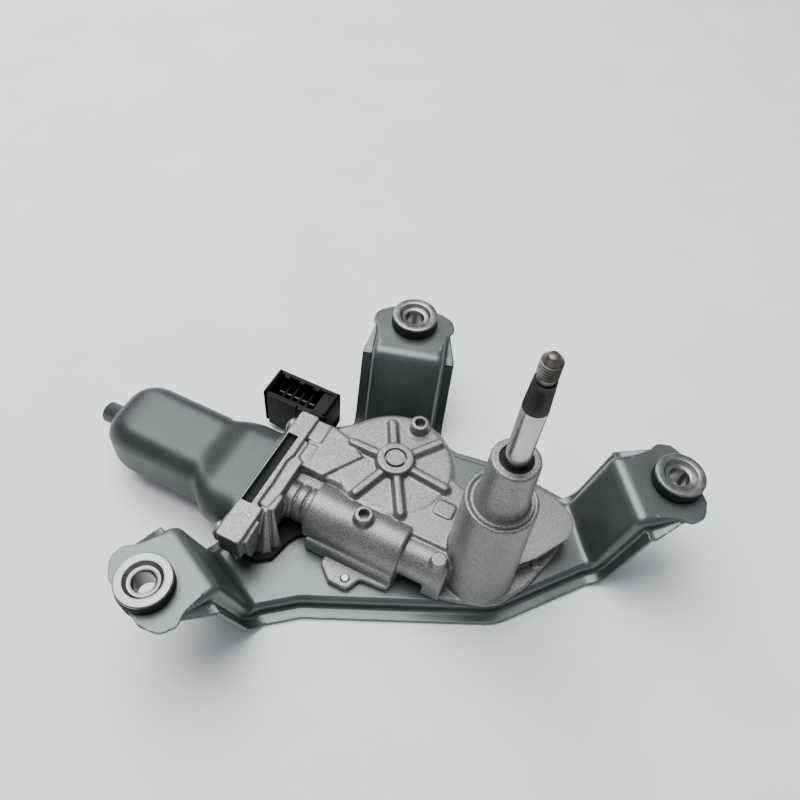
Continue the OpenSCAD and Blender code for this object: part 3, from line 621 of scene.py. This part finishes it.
def flange_solids():
    z0, z1 = 0.3, FLANGE_TOP
    top = [(FLANGE_BACK, -51.75), (FLANGE_STEP, -51.75), (FLANGE_STEP, -31), (-102, -30),
           (-101.6, -17), (-102.2, -3), (-100.9, 1), (-101, 13), (-101, 26.75),
           (FLANGE_BACK, 26.75)]
    ear = [(FLANGE_BACK, -51.75), (FLANGE_STEP, -51.75), (FLANGE_STEP, -35), (FLANGE_BACK, -35)]
    body = [(FLANGE_BACK, -37.4), (FLANGE_STEP, -37.4)] + top[2:]
    body_corners = [0, 0, 1, 1, 1, 1, 1, 1, 1, 2]
    parts = [prism(rounded_line(ear, [2, 2, 0, 0], 3, closed=True), EAR_LOW, z1, 0.7, 3),
             prism(rounded_line(body, body_corners, 3, closed=True), z0, z1, 0.7, 3)]
    second = [(FLANGE_POCKET, -29), (-97.4, -29), (-95.7, -19), (-95.7, 0.5), (-98.6, 2),
              (-98.6, 12), (FLANGE_POCKET, 12)]
    parts.append(prism(rounded_line(second, [1] * 7, 3, closed=True), CASE_LOW, z1 - 1.5, 0.6, 3))
    block = [(FLANGE_POCKET, 13.6), (-93.4, 13.6), (-93.4, 26.2), (FLANGE_POCKET, 26.2)]
    parts.append(prism(rounded_line(block, [1] * 4, 3, closed=True), CASE_LOW, z1 - 1.7, 0.6, 3))
    for x0, x1, y0, y1 in ((FLANGE_STEP, -93.2, 1.4, 12.4), (-98.0, -93.9, -28.4, -19.6)):
        pad = [(x0, y0), (x1, y0), (x1, y1), (x0, y1)]
        parts.append(prism(rounded_line(pad, [1.6] * 4, 3, closed=True), 10, z1 - 2.0, 0.8, 3))
    # Wall before the flange's end, and two tapering gussets beside it
    back = -98.9
    low = [(back, -47, 9), (-96.2, -47, 9), (-96.2, -43, 9), (back, -43, 9)]
    middle = [(back, -48.6, 16), (-96.0, -48.6, 16), (-96.0, -41, 16), (back, -41, 16)]
    high = [(back, -48.8, 25.6), (-96.6, -48.8, 25.6), (-96.6, -36.6, 26.8), (back, -36.6, 26.8)]
    parts.append(loft([low, middle, high]))
    root = -100.5
    gussets = (((-97.2, -30.4), (-93.8, -38.4), 1.7), ((-95.2, -28.2), (-90.8, -33.6), 1.4))
    for top_at, foot_at, wide in gussets:
        rings = []
        for t, half in ((0.0, wide * 1.7), (0.5, wide * 1.15), (1.0, wide * 0.6)):
            cx = foot_at[0] + (top_at[0] - foot_at[0]) * t
            cy = foot_at[1] + (top_at[1] - foot_at[1]) * t
            z = 3.4 + 23.0 * t
            rings.append([(root, cy - half, z), (cx, cy - half, z), (cx + half, cy, z),
                          (cx, cy + half, z), (root, cy + half, z)])
        parts.append(loft(rings))
    return parts


def housing_hollows():
    parts = [turned([(CASE_ROOM_R, -1), (CASE_ROOM_R, 21)], WHEEL)]
    parts.append(along_x(turned([(10, -80), (10, -35)])))
    parts.append(along_x(turned([(7, -107), (7, -78)])))
    parts.append(along_x(turned([(6, -36), (6, -23)])))
    parts.append(turned([(LEVER_ROOM_R, -1), (LEVER_ROOM_R, LINK_ROOM_TOP)]))
    parts.append(prism(rod_way(0), -1, LINK_ROOM_TOP))
    parts.append(turned([(TOWER_BORE_R, 5), (TOWER_BORE_R, TOWER_TOP + 1)]))
    parts.append(turned([(4.5, 18), (4.5, 26.4), (5.7, 26.5), (5.9, 40)], WHEEL))
    parts.append(box(FLANGE_BACK - 1, FLANGE_POCKET, MOTOR_Y - 25, MOTOR_Y + 25, 3.3, 25.5))
    parts.append(box(-110, -104.4, MOTOR_Y - 19, MOTOR_Y + 24, 20, 40))
    parts.append(box(FLANGE_BACK - 1, FLANGE_POCKET, 11.5, 31.5, 2.3, 13.3))
    for boss in ROOF_BOSSES:
        parts.append(turned([(BOSS_BORE_R, BOSS_TOP - 5), (BOSS_BORE_R, BOSS_TOP + 4)], boss))
    parts.append(box(-32.9, -19.8, MOTOR_Y - 20, MOTOR_Y + 2, CASE_LOW - 2, 7.6))
    return parts


housing = blended("gear_case", housing_solids(), 0.45, 4)
cut(housing, housing_hollows())
dress(housing, CAST, "housing", ["gear_housing"], sharp=40)


SEAL = [(-98.8, -46), (-95.5, -45), (-89.5, -40.5), (-87.5, -30), (-85, -24.5), (-82.3, -22.5),
        (-82.3, -19), (-94.8, -19), (-94.8, -28.7), (-98.8, -28.7)]
seal_line = rounded_line(SEAL, [2, 2, 4, 4, 3, 2, 0, 0, 0, 0], closed=True)
piece("flange_gasket", [prism(seal_line, 0.1, 3.3, 0.8)], RUBBER, "housing", "flange_seal",
      sharp=40)


# ---------------------------------------------------------------- motor

def can_section(x, half_y, half_z, corner, step=0.0):
    """Rounded rectangle across the motor at x; step draws the part below the seam in."""
    pts = []
    for cy, cz, a0 in ((1, 1, 0), (-1, 1, 90), (-1, -1, 180), (1, -1, 270)):
        for y, z in arc(cy * (half_y - corner), cz * (half_z - corner), corner, a0, a0 + 90, 10):
            pts.append((y, z))
    out = []
    for i, (y, z) in enumerate(pts):
        y2, z2 = pts[(i + 1) % len(pts)]
        n = 6 if i % 11 == 10 else 1
        out += [(y + (y2 - y) * k / n, z + (z2 - z) * k / n) for k in range(n)]
    ring = []
    for y, z in out:
        drop = step * min(1, max(0, (-z - half_z + corner * 0.9) / 0.4))
        k = 1 - drop / math.hypot(y, z)
        ring.append((x, MOTOR_Y + y * k, MOTOR_Z + z * k))
    return ring


def can_stations():
    """Position, half width, half height and corner radius, from the can's end to its rim."""
    rows = []
    for k in range(9):
        a = math.pi / 2 * k / 8
        rows.append((CAN_END + 16 * (1 - math.cos(a)), 10.8 + 9.2 * math.sin(a),
                     10.2 + 8.8 * math.sin(a), 8.6 + 1.9 * math.sin(a)))
    rows += [(x, 20, 19, 10.5) for x in (-172, -150, CAN_NECK)]
    for k in range(1, 13):
        t = k / 12
        s = t * t * (3 - 2 * t)
        dip = 0.8 * math.sin(math.pi * min(1, t * 2.2)) * (t < 0.45)
        rows.append((CAN_NECK + CAN_FLARE * t, 20 + 8 * s - dip, 19 - 5 * s, 10.5 + 2.5 * s))
    rows += [(-118, 28, 14, 13), (-113.2, 28, 14, 13)]
    return rows


def can_parts():
    outer = [can_section(x, y, z, c, 1.5 if x < CAN_NECK else 0.0)
             for x, y, z, c in can_stations()]
    rim = [can_section(-113.0, 28.6, 14.4, 13.4), can_section(-112.7, 31, 15, 14),
           can_section(FLANGE_BACK, 31, 15, 14)]
    inner = [can_section(max(x, CAN_END + 1.6), y - CAN_WALL, z - CAN_WALL, c - CAN_WALL)
             for x, y, z, c in can_stations()][::-1]
    mouth = can_section(FLANGE_BACK, 28 - CAN_WALL, 14 - CAN_WALL, 13 - CAN_WALL)
    shell = loft(outer + rim + [mouth] + inner)
    boss = along_x(turned([(0, -204), (4.9, -204), (5.5, -203.2), (5.5, -193.2), (6.8, -191.6),
                           (6.8, -191), (0, -191)]))
    back = FLANGE_BACK - CAN_EAR
    disc = turned([(0, back), (5.2, back), (5.2, FLANGE_BACK), (0, FLANGE_BACK)])
    ears = [along_x(disc, MOTOR_Y + s * RIM_SCREW_OUT, RIM_SCREW_Z) for s in (-1, 1)]
    bridge = [box(back, FLANGE_BACK - 0.02, MOTOR_Y + y0, MOTOR_Y + y1, 15, 24.8)
              for y0, y1 in ((-RIM_SCREW_OUT, -27), (27, RIM_SCREW_OUT))]
    return [shell, boss] + ears + bridge


piece("can", can_parts(), CAN, "housing", "motor_can", sharp=45)
# Dark strip in the can's lower front seam: painted shade in the gap between the front face and the
# drawn-in bottom
piece("can_seam_painted_shade", [box(-180, -143, MOTOR_Y - 19.2, MOTOR_Y - 17.8, 2.5, 3.6)], KNURL_AND_SEAM_SHADE, "housing")

screw_parts = []
head = [(0, -116.2), (1.6, -116.1), (3.2, -115.6), (4.3, -114.4), (4.6, -112.6), (2.5, -112.6),
        (2.5, -101.5), (0, -101.5)]
for s in (-1, 1):
    screw_parts.append(along_x(turned(head), MOTOR_Y + s * RIM_SCREW_OUT, RIM_SCREW_Z))
piece("rim_screws", screw_parts, SCREW, "housing", "can_screws", sharp=45)


# ---------------------------------------------------------------- connector

def connector_parts():
    (x0, x1), (y0, y1), low = PLUG_X, PLUG_Y, PLUG_LOW
    parts = [box(x0, x1, y0, 35.2, low, 19), box(x0, x1, 48.6, y1, low, 19),
             box(x0, -136.6, y0, y1, low, 19), box(-110.6, x1, y0, y1, low, 18.2),
             box(x0, x1, y0, y1, low, 3), box(-136, -110, 31.4, 33.4, low, 19)]
    for x in (-130.7, -126.1, -121.5, -116.9):
        parts.append(box(x - 0.6, x + 0.6, 35, 49, 2, 13.4))
    for x in (-134, -125, -116):
        parts.append(box(x, x + 3.2, 46.4, 49, 3, 20.2))
    parts.append(box(-131, -118, 31.0, 33.4, 12, 20.4))
    for x in (-138.4, -104):
        parts.append(box(x, x + 1.4, 34, 50, 19, 20.6))
    return parts


socket = piece("connector", connector_parts(), PLASTIC, "housing", "connector_housing", sharp=35)
bevelled(socket, 0.4)


# ---------------------------------------------------------------- output shaft

def shaft_parts():
    ring_low = TOWER_TOP - 4.6
    profile = [(0, LEVER_Z), (4.6, LEVER_Z), (SHAFT_R, LEVER_Z + 0.5), (SHAFT_R, ring_low),
               (4.4, ring_low), (4.4, ring_low + 1), (SHAFT_R, ring_low + 1),
               (SHAFT_R, SHAFT_TIP - 27.4), (4.9, SHAFT_TIP - 27), (0, SHAFT_TIP - 27)]
    return [turned(profile, n=96)]


def taper_parts():
    """Knurled taper: fine ridges along it."""
    ridges, per = 44, 4
    rings = []
    for k in range(13):
        t = k / 12
        z = TAPER_LOW + 15.1 * t
        r = 5.05 - 0.85 * t
        bite = 0.28 * min(1, k / 1.5) * min(1, (12 - k) / 1.5)
        rings.append([(r_ * math.cos(a), r_ * math.sin(a), z) for i in range(ridges * per)
                      for a in [2 * math.pi * i / (ridges * per)]
                      for r_ in [r - bite * (0, 0.6, 1, 0.6)[i % per]]])
    return [loft(rings)]


def thread_parts():
    """Single-start thread, with a plain neck below it and a coned end."""
    n, count = 64, 150
    rings = []
    for k in range(count + 1):
        z = THREAD_LOW + (SHAFT_TIP - THREAD_LOW) * k / count
        ring = []
        for i in range(n):
            a = 2 * math.pi * i / n
            phase = ((z - THREAD_LOW) / THREAD_PITCH - i / n) % 1.0
            crest = 1 - abs(2 * phase - 1)
            depth = 0.75 * max(0.0, min(1.0, 1.25 * (1 - crest) - 0.12))
            start = min(1.0, max(0.0, (z - THREAD_LOW - 2.2) / 0.8))
            r = 3.45 * (1 - start) + (THREAD_R - depth) * start
            r = min(r, 1.9 + (SHAFT_TIP - z) * 0.8)
            ring.append((r * math.cos(a), r * math.sin(a), z))
        rings.append(ring)
    return [loft(rings)]


piece("shaft", shaft_parts(), STEEL, "output", "output_shaft", sharp=40)
piece("knurled_taper", taper_parts(), KNURL_AND_SEAM_SHADE, "output", sharp=60)
piece("thread", thread_parts(), THREAD, "output", sharp=60)


# ---------------------------------------------------------------- floor, light and camera

def floor():
    bm = bmesh.new()
    bmesh.ops.create_grid(bm, x_segments=2, y_segments=2, size=3.0)
    mesh = bpy.data.meshes.new("floor")
    bm.to_mesh(mesh)
    bm.free()
    ob = bpy.data.objects.new("floor", mesh)
    bpy.context.scene.collection.objects.link(ob)
    ob.location = (0, 0, cad_box[0][2] - 0.0002)
    mesh.materials.append(surface("floor_paint", (0.76, 0.775, 0.77), (0.83, 0.84, 0.835),
                                  (0.6, 0.75), metallic=0.0, grain=3, bump=0.03, blotch=60))


def area_light(name, at, target, size, power, colour=(1, 1, 1)):
    data = bpy.data.lights.new(name, "AREA")
    data.shape = "DISK"
    data.size = size
    data.energy = power
    data.color = colour
    ob = bpy.data.objects.new(name, data)
    ob.location = at
    ob.rotation_euler = (Vector(at) - Vector(target)).to_track_quat("Z", "Y").to_euler()
    bpy.context.scene.collection.objects.link(ob)


floor()
area_light("ceiling", (-0.4, 0.2, 1.3), (0, 0, 0), 1.3, 34)
area_light("window", (-1.0, 0.7, 0.8), (0, 0, 0), 0.8, 7, (0.95, 0.98, 1))
world = bpy.data.worlds.new("room")
world.use_nodes = True
world.node_tree.nodes["Background"].inputs["Color"].default_value = (0.9, 0.95, 1.0, 1)
world.node_tree.nodes["Background"].inputs["Strength"].default_value = 0.45
bpy.context.scene.world = world

CAMERA_AT = (10.9, -168.0, 335.9)
CAMERA_TURN = (37.583, -4.417, 25.6)
lens = bpy.data.cameras.new("camera")
lens.sensor_width = 36
lens.lens = 33.75
camera = bpy.data.objects.new("camera", lens)
camera.location = place(CAMERA_AT)
camera.rotation_euler = Euler([math.radians(a) for a in CAMERA_TURN])
bpy.context.scene.collection.objects.link(camera)
bpy.context.scene.camera = camera
